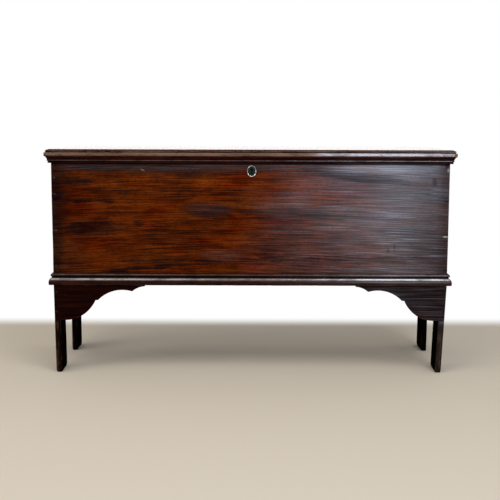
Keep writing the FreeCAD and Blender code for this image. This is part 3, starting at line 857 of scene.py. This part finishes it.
wrought_iron = iron("Wrought iron", (0.028, 0.024, 0.022), (0.11, 0.10, 0.092), (0.075, 0.028, 0.012), 0.52)
lock_iron = iron("Lock iron", (0.05, 0.045, 0.04), (0.16, 0.145, 0.13), (0.08, 0.032, 0.014), 0.56)
nail_iron = iron(
    "Nail iron", (0.018, 0.015, 0.014), (0.07, 0.06, 0.052), (0.06, 0.022, 0.010), 0.48, metal=0.7, shine=0.2)
front_nail_iron = iron(
    "Front nail iron", (0.012, 0.008, 0.007), (0.034, 0.024, 0.020), (0.04, 0.013, 0.006), 0.48,
    metal=0.4, shine=0.1)
dark_nail_iron = iron(
    "Dark nail iron", (0.006, 0.003, 0.0025), (0.016, 0.008, 0.006), (0.02, 0.006, 0.003), 0.48,
    metal=0.2, shine=0.05)
oval_metal = escutcheon_metal()


# Boards

def board_mesh(node, axis, share, seed, arris=board_arris, step=board_step):
    """Worn board: its outline, cut across the thickness axis at a share, with eased and nicked arrises."""
    low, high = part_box(node)
    thickness = high[axis] - low[axis]
    bm = bmesh.new()
    corners = []
    for point in outlines(node, axis, low[axis] + share * thickness)[0]:
        point[axis] = low[axis]
        corners.append(bm.verts.new(point))
    face = bm.faces.new(corners)
    bm.normal_update()
    bmesh.ops.inset_region(bm, faces=[face], thickness=worn_border, use_even_offset=True, use_boundary=True)
    copied = bmesh.ops.extrude_face_region(bm, geom=everything(bm), use_keep_orig=True)
    moved = [item for item in copied["geom"] if isinstance(item, bmesh.types.BMVert)]
    bmesh.ops.translate(bm, verts=moved, vec=axis_vector(axis, thickness))
    eased(bm, arris)
    for place in (low[axis] + worn_border, high[axis] - worn_border):
        cut_across(bm, axis, place)
    mark_arrises(bm)
    for other in (X, Y, Z):
        if other != axis:
            gridded(bm, other, step)
    weathered(bm, seed, *board_wear)
    return bm


def leaned(bm, side):
    """Move one end's legs in, the more the nearer to the floor and to the front."""
    inward = leg_leans[side] * (1 if side == "left" else -1)
    for vert in bm.verts:
        share = max(rear_lean_share, ramp(vert.co.y, inner_back_y, inner_front_y))
        vert.co.x += inward * share * max(0.0, 1 - vert.co.z / base_low.z)


def board(name, node, axis, share, material, slot, seed, **shape):
    return made_piece(name, board_mesh(node, axis, share, seed, **shape), material, "chest", node)


def end_board(side, share, seed):
    """End board whose two feet are rounded over by wear, and which knows its turned-in faces."""
    node = side + "_end_board"
    bm = board_mesh(node, X, share, seed)
    for level in foot_cuts:
        cut_across(bm, Z, level * foot_wear_height)
    bm.normal_update()
    for vert in bm.verts:
        near = max(0.0, 1 - vert.co.z / foot_wear_height)
        sideways = Vector((vert.normal.x, vert.normal.y, 0))
        vert.co -= sideways * foot_wear_depth * near * near
    outward = 1 if side == "right" else -1
    layer = value_layer(bm, "turned_in")
    for vert in bm.verts:
        vert[layer] = ramp(outward * vert.normal.x, turned_out, turned_in_fully)
    leaned(bm, side)
    return made_piece(side + "_end_board_worn", bm, end_wood, "chest", node)


def bracket(side, seed):
    node = side + "_front_bracket"
    bm = board_mesh(node, Y, 0.5, seed, step=bracket_step)
    leaned(bm, side)
    return made_piece(side + "_bracket_worn", bm, bracket_wood, "chest", node)


def prism(rows):
    """Closed mesh along rows of two end points, one row for each point of its section."""
    bm = bmesh.new()
    rows = [[bm.verts.new(place) for place in row] for row in rows]
    for index, row in enumerate(rows):
        last = rows[index - 1]
        bm.faces.new((last[0], row[0], row[1], last[1]))
    for end in (0, 1):
        bm.faces.new([row[end] for row in rows])
    bmesh.ops.recalc_face_normals(bm, faces=bm.faces)
    return bm


def plain_mesh(piece):
    """Mesh of a piece with its modifiers worked in."""
    depsgraph = bpy.context.evaluated_depsgraph_get()
    return bpy.data.meshes.new_from_object(piece.evaluated_get(depsgraph), depsgraph=depsgraph)


def cut_away(piece, bm):
    """Cut a closed mesh out of a piece for good."""
    cutter = new_object("cutter", new_mesh("cutter", bm))
    modifier = piece.modifiers.new("cut", "BOOLEAN")
    modifier.operation = "DIFFERENCE"
    modifier.solver = "EXACT"
    modifier.object = cutter
    finished = plain_mesh(piece)
    piece.modifiers.remove(modifier)
    bpy.data.objects.remove(cutter)
    piece.data = finished


def front_board():
    """Front board with its keyhole cut through."""
    piece = board("front_board_worn", "front_board", Y, 0.5, front_wood, "stained_wood", 3.1)
    thickness = inner_front_y - front_y
    for loop in outlines("front_board", Y, (inner_front_y + front_y) / 2)[1:]:
        if abs(sum(point.x for point in loop) / len(loop) - keyhole_x) < thickness / 2:
            ends = (front_y - thickness, inner_front_y + thickness)
            cut_away(piece, prism([[(point.x, y, point.z) for y in ends] for point in loop]))
    return piece


front_board()
board("back_board_worn", "back_board", Y, 0.5, back_wood, "plain_wood", 5.7)
end_board("left", 0.17, 7.9)
end_board("right", 0.83, 9.3)
bracket("left", 11.2)
bracket("right", 13.6)
for place_name, seed in (("front", 15.5), ("rear", 17.1)):
    board(place_name + "_bottom_worn", place_name + "_bottom_board", Z, 0.1, plain_wood, "plain_wood", seed,
          arris=plain_arris)
for side_name, seed in (("left", 19.8), ("right", 21.4)):
    board(side_name + "_block_worn", side_name + "_bracket_block", Z, 0.5, plain_wood, "plain_wood", seed,
          step=block_step)


# Mouldings

def moulding(label, body, seed, front_finish, end_finish):
    """Front and two end lengths of a moulding, mitred at the front corners."""
    loop = outlines(label + "_front", X, 0.0)[0]
    for name, side in (("_front", 0), ("_left", -1), ("_right", 1)):
        rows = []
        for point in loop:
            reach = half_length + front_y - point.y
            ends = [(-reach, point.y), (reach, point.y)]
            if side:
                ends = [(side * reach, point.y), (side * reach, back_y)]
            rows.append([(x, y, point.z) for x, y in ends])
        bm = prism(rows)
        eased(bm, moulding_arris)
        gridded(bm, Y if side else X, moulding_step)
        mark_arrises(bm)
        weathered(bm, seed + side, *moulding_wear)
        finish = end_finish if side else front_finish
        made_piece(label + name + "_worn", bm, finish, body, label + name)


moulding("base_moulding", "chest", 23.7, base_wood, base_end_wood)
moulding("lid_moulding", "lid", 27.2, lid_moulding_wood, lid_end_moulding_wood)


# Lid

# Groove above the nose, and how near the nose's edges its face is held
groove_depth = 0.0020
groove_height = 0.0030
nose_hold = 0.0009
lid_seed = 31.3


def lid_edge():
    """Points down the lid's moulded edge, from its top face round the nose to its underside."""
    loop = outlines("lid_board", X, lid_high.x / 2)[0]
    top = min((point for point in loop if abs(point.z - lid_high.z) < weld), key=lambda point: point.y)
    under = min((point for point in loop if abs(point.z - lid_low.z) < weld), key=lambda point: point.y)
    first = loop.index(top)
    loop = loop[first:] + loop[:first]
    if loop[1].y > top.y + weld:
        loop = loop[:1] + loop[:0:-1]
    return loop[:loop.index(under) + 1]


def grooved(edge):
    """Lid edge whose step above the nose is cut in to a groove."""
    nose = next(index for index, point in enumerate(edge) if point.y < lid_low.y + weld)
    upper = [point for point in edge[:nose] if point.z > edge[nose].z + groove_height]
    lip = upper[-1]
    back = lip.y + groove_depth
    return upper + [Vector((lip.x, back, lip.z)), Vector((lip.x, back, edge[nose].z))] + edge[nose:]


def lid_board():
    """Lid with its moulded edge on three sides, the link plate's recess and its own finish on top."""
    bm = bmesh.new()
    rows = []
    for point in grooved(lid_edge()):
        reach = lid_high.x - (point.y - lid_low.y)
        rows.append([bm.verts.new(place) for place in (
            (-reach, lid_high.y, point.z), (-reach, point.y, point.z),
            (reach, point.y, point.z), (reach, lid_high.y, point.z))])
    for upper, lower in zip(rows, rows[1:]):
        for here in range(3):
            bm.faces.new((upper[here], upper[here + 1], lower[here + 1], lower[here]))
    bm.faces.new(rows[0])
    bm.faces.new(rows[-1])
    bm.faces.new([row[0] for row in rows] + [row[3] for row in reversed(rows)])
    eased(bm, moulding_arris)
    for place in (nose_low + nose_hold, nose_high - nose_hold):
        cut_across(bm, Z, place)
    for axis, step in lid_steps.items():
        gridded(bm, axis, step)
    mark_arrises(bm)
    weathered(bm, lid_seed, *lid_wear)
    piece = made_piece("lid_board_worn", bm, lid_edge_wood, "lid", "lid_board")
    low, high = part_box("lock_link_plate")
    recess = ((low.x, low.y), (high.x, low.y), (high.x, high.y), (low.x, high.y))
    cut_away(piece, prism([[(x, y, z) for z in (low.z, high.z)] for x, y in recess]))
    piece.data.materials.append(lid_top_wood)
    for face in piece.data.polygons:
        if face.normal.z > math.cos(sharp_angle) and face.center.z > lid_high.z - moulding_arris:
            face.material_index = 1
    return piece


lid_board()


# Ironwork

def forged(node, material, body):
    """CAD piece with its arrises eased."""
    bm = cad_copy(node)
    bmesh.ops.dissolve_limit(bm, angle_limit=straight_angle, verts=bm.verts, edges=bm.edges)
    eased(bm, iron_arris)
    mark_arrises(bm)
    return made_piece(node + "_forged", bm, material, body, node)


for side_name in ("left", "right"):
    forged(side_name + "_hinge_leaf", wrought_iron, "chest")
    forged(side_name + "_hinge_pin", wrought_iron, "chest")
    forged(side_name + "_hinge_strap", wrought_iron, "lid")
forged("lock_plate", lock_iron, "chest")
forged("lock_case", lock_iron, "chest")
forged("lock_bolt", lock_iron, "lock_bolt")
forged("lock_link_plate", lock_iron, "lid")

# CAD nodes that show as they are, with a finish
kept_nodes = {
    "escutcheon": oval_metal, "lock_drill_pin": nail_iron, "lock_spring": nail_iron,
    "bottom_board_nails": nail_iron, "base_moulding_sprigs": nail_iron, "lid_moulding_sprigs": nail_iron}
for node, material in kept_nodes.items():
    frame["nodes"][node].data.materials.clear()
    frame["nodes"][node].data.materials.append(material)


# Forged nails

# Facets of a head and of a shank, their tapers, how far nails lean and turn, and how their sizes vary
head_facets = 8
head_segments = 2
head_taper = 0.42
shank_facets = 4
shank_taper = 0.5
nail_turns = [(-0.06, -0.06, 0.0), (0.06, 0.06, 6.28)]
nail_sizes = [(0.88, 0.88, 0.8), (1.08, 1.08, 1.2)]


def islands(bm):
    """Separate solids of a mesh, each as a list of its points."""
    seen = set()
    groups = []
    for vert in bm.verts:
        if vert.index in seen:
            continue
        seen.add(vert.index)
        group = [vert]
        for member in group:
            for edge in member.link_edges:
                other = edge.other_vert(member)
                if other.index not in seen:
                    seen.add(other.index)
                    group.append(other)
        groups.append(group)
    return groups


def nail_heads(node, direction):
    """Middle of each nail's head, for nails that are driven in one direction."""
    bm = cad_copy(node)
    bm.verts.index_update()
    heads = []
    for group in islands(bm):
        start = min(vert.co.dot(direction) for vert in group)
        rim = [vert.co for vert in group if vert.co.dot(direction) - start < weld]
        heads.append(sum(rim, Vector()) / len(rim))
    bm.free()
    return heads


def nail_tree():
    """Nails with a faceted head and a square tapered shank at the points of a mesh."""
    tree = bpy.data.node_groups.new("Forged nails", "GeometryNodeTree")
    for label, way, kind in (
            ("Geometry", "INPUT", "Geometry"), ("Head Radius", "INPUT", "Float"),
            ("Head Height", "INPUT", "Float"), ("Shank", "INPUT", "Float"), ("Length", "INPUT", "Float"),
            ("Aim", "INPUT", "Rotation"), ("Seed", "INPUT", "Int"), ("Iron", "INPUT", "Material"),
            ("Geometry", "OUTPUT", "Geometry")):
        tree.interface.new_socket(label, in_out=way, socket_type="NodeSocket" + kind)
    given = tree.nodes.new("NodeGroupInput").outputs
    radius, height, shank = given["Head Radius"], given["Head Height"], given["Shank"]

    def cone(facets, top, bottom, depth, drop, segments=1):
        """Cone from its bottom to its top radius, moved down by a share of its depth."""
        shape = add("GeometryNodeMeshCone", {
            "Vertices": facets, "Side Segments": segments, "Radius Top": top, "Radius Bottom": bottom,
            "Depth": depth})
        move = joined({Z: times(depth, -drop)})
        return add("GeometryNodeTransform",
                   {"Geometry": shape.outputs["Mesh"], "Translation": move}).outputs[0]

    def varied(span):
        return add("FunctionNodeRandomValue", {0: span[0], 1: span[1], "Seed": given["Seed"]},
                   data_type="FLOAT_VECTOR").outputs[0]

    whole = tree.nodes.new("GeometryNodeJoinGeometry")
    for part in (cone(head_facets, times(radius, head_taper), radius, height, 0.0, head_segments),
                 cone(head_facets, radius, shank, height, 1.0),
                 cone(shank_facets, shank, times(shank, shank_taper), given["Length"], 1.0)):
        tree.links.new(part, whole.inputs[0])
    spin = add("FunctionNodeEulerToRotation", {0: varied(nail_turns)})
    turn = add("FunctionNodeRotateRotation", {0: given["Aim"], 1: spin.outputs[0]},
               rotation_space="LOCAL")
    copies = add("GeometryNodeInstanceOnPoints",
                 {"Points": given["Geometry"], "Instance": whole.outputs[0], "Rotation": turn.outputs[0],
                  "Scale": varied(nail_sizes)})
    solid = add("GeometryNodeRealizeInstances", {0: copies.outputs[0]})
    finish = add("GeometryNodeSetMaterial", {"Geometry": solid.outputs[0], "Material": given["Iron"]})
    fill(tree.nodes.new("NodeGroupOutput"), {0: finish.outputs[0]})
    return tree


nails = nail_tree()


def forged_nails(name, node, direction, body, values, seed, metal):
    """Nails of one group, worked out at their places and kept as a plain mesh."""
    mesh = bpy.data.meshes.new(name)
    mesh.from_pydata(nail_heads(node, direction), [], [])
    piece = new_object(name, mesh)
    modifier = piece.modifiers.new("nails", "NODES")
    modifier.node_group = nails
    aim = (-direction).to_track_quat("Z", "Y").to_euler()
    settings = dict(values, Seed=seed, Aim=aim, Iron=metal)
    for item in nails.interface.items_tree:
        if item.in_out == "INPUT" and item.name in settings:
            modifier[item.identifier] = settings[item.name]
    finished = plain_mesh(piece)
    finished.name = name
    piece.modifiers.remove(modifier)
    piece.data = finished
    return placed(piece, metal, body, node)


into_front = Vector((0, 1, 0))
into_back = Vector((0, -1, 0))
into_lid = Vector((0, 0, 1))
board_nail = {"Head Radius": 0.0040, "Head Height": 0.0008, "Shank": 0.0024, "Length": 0.030}
plate_nail = {"Head Radius": 0.0039, "Head Height": 0.0011, "Shank": 0.0020, "Length": 0.010}
oval_pin = {"Head Radius": 0.0013, "Head Height": 0.0005, "Shank": 0.0007, "Length": 0.006}
for nail_row in (
        ("front_nails_forged", "front_board_nails", into_front, "chest", board_nail, 3, front_nail_iron),
        ("back_nails_forged", "back_board_nails", into_back, "chest", board_nail, 5, nail_iron),
        ("bracket_nails_forged", "bracket_nails", into_front, "chest", board_nail, 7, dark_nail_iron),
        ("leaf_nails_forged", "hinge_leaf_nails", into_back, "chest", plate_nail, 9, nail_iron),
        ("strap_nails_forged", "hinge_strap_nails", into_lid, "lid", plate_nail, 11, nail_iron),
        ("lock_nails_forged", "lock_nails", into_back, "chest", plate_nail, 13, nail_iron),
        ("link_nails_forged", "link_plate_nails", into_lid, "lid", plate_nail, 15, nail_iron),
        ("oval_pins_forged", "escutcheon_pins", into_front, "chest", oval_pin, 17, nail_iron)):
    forged_nails(*nail_row)


# Floor, light and camera

# Floor: a pale disc, and how far it shows behind, beside and in front of the chest before it fades to white
floor_radius = 9.0
floor_sides = 96
floor_clear = 0.0005
floor_back = 0.50
floor_side = 1.7
floor_front = 1.8
floor_fade = 0.2
floor_tone = (0.75, 0.66, 0.53)
floor_roughness = 0.9
floor_specular = 0.1
white = (1.0, 1.0, 1.0)
warm_white = (1.0, 0.96, 0.92)
cool_white = (0.92, 0.96, 1.0)
window_blue = (0.68, 0.79, 1.0)
sky_light = 0.42


def shown(tree):
    """1 for what the camera sees, in reflections too, and 0 for what lights the scene."""
    rays = tree.nodes.new("ShaderNodeLightPath").outputs
    return largest(rays["Is Camera Ray"], largest(rays["Is Glossy Ray"], rays["Is Transmission Ray"]))


def floor():
    """Pale disc that keeps the shadow and turns to plain white further out."""
    bm = bmesh.new()
    bmesh.ops.create_circle(bm, cap_ends=True, segments=floor_sides, radius=floor_radius)
    bmesh.ops.translate(bm, verts=bm.verts, vec=(0, 0, -floor_clear))
    piece = new_object("floor", new_mesh("floor", bm))
    material, shader, place = new_material("Pale floor")
    fill(shader, {
        "Base Color": rgba(floor_tone), "Roughness": floor_roughness, "Specular IOR Level": floor_specular})
    parts = split(place)
    past_back = ranged(parts[Y], floor_back, floor_back + floor_fade)
    past_front = ranged(parts[Y], -floor_front, -floor_front - floor_fade)
    past_side = ranged(maths("ABSOLUTE", parts[X]), floor_side, floor_side + floor_fade)
    past = largest(past_back, largest(past_front, past_side))
    tree = shader.id_data
    glow = tree.nodes.new("ShaderNodeEmission")
    fill(glow, {"Color": rgba(white), "Strength": 1.0})
    blend = add("ShaderNodeMixShader",
                {0: times(shown(tree), past), 1: shader.outputs[0], 2: glow.outputs[0]})
    fill(tree.nodes["Material Output"], {"Surface": blend.outputs[0]})
    piece.data.materials.append(material)


def world():
    """White to the eye and to reflections, and an even grey light."""
    sky = bpy.data.worlds.new("Studio")
    bpy.context.scene.world = sky
    sky.use_nodes = True
    tree = sky.node_tree
    strength = between(shown(tree), sky_light, 1.0)
    fill(tree.nodes["Background"], {"Color": rgba(white), "Strength": strength})


def soft_light(name, place, aim, width, height, power, colour):
    light = bpy.data.lights.new(name, "AREA")
    light.shape = "RECTANGLE"
    light.size = width
    light.size_y = height
    light.energy = power
    light.color = colour
    lamp = new_object(name, light)
    lamp.location = place
    lamp.rotation_euler = (Vector(aim) - Vector(place)).to_track_quat("-Z", "Y").to_euler()
    lamp.visible_camera = False


def camera():
    lens = bpy.data.cameras.new("camera")
    lens.lens = camera_lens
    lens.sensor_width = camera_sensor
    eye = new_object("camera", lens)
    turn = (Matrix.Rotation(camera_heading, 4, "Z") @ Matrix.Rotation(math.pi / 2 + camera_pitch, 4, "X")
            @ Matrix.Rotation(camera_roll, 4, "Z"))
    eye.matrix_world = Matrix.Translation(camera_place) @ turn
    bpy.context.scene.camera = eye


floor()
world()
for light_row in (
        ("cool window", (1.15, -4.25, 1.05), (0.3, front_y, 0.5), 1.3, 1.3, 55.0, window_blue),
        ("left overhead", (-0.95, -1.9, 3.0), (-0.3, 0.0, 0.42), 1.3, 1.6, 19.0, warm_white),
        ("right overhead", (1.0, -1.9, 3.0), (0.3, 0.0, 0.42), 1.1, 1.6, 24.0, cool_white),
        ("left fill", (-3.2, -1.6, 1.5), (0.0, 0.0, 0.42), 1.8, 1.8, 24.0, warm_white),
        ("back rim", (0.0, 4.0, 0.82), (0.0, 0.0, 0.7), 3.4, 0.3, 12.4, white)):
    soft_light(*light_row)
camera()
bpy.context.scene.view_settings.view_transform = "Standard"
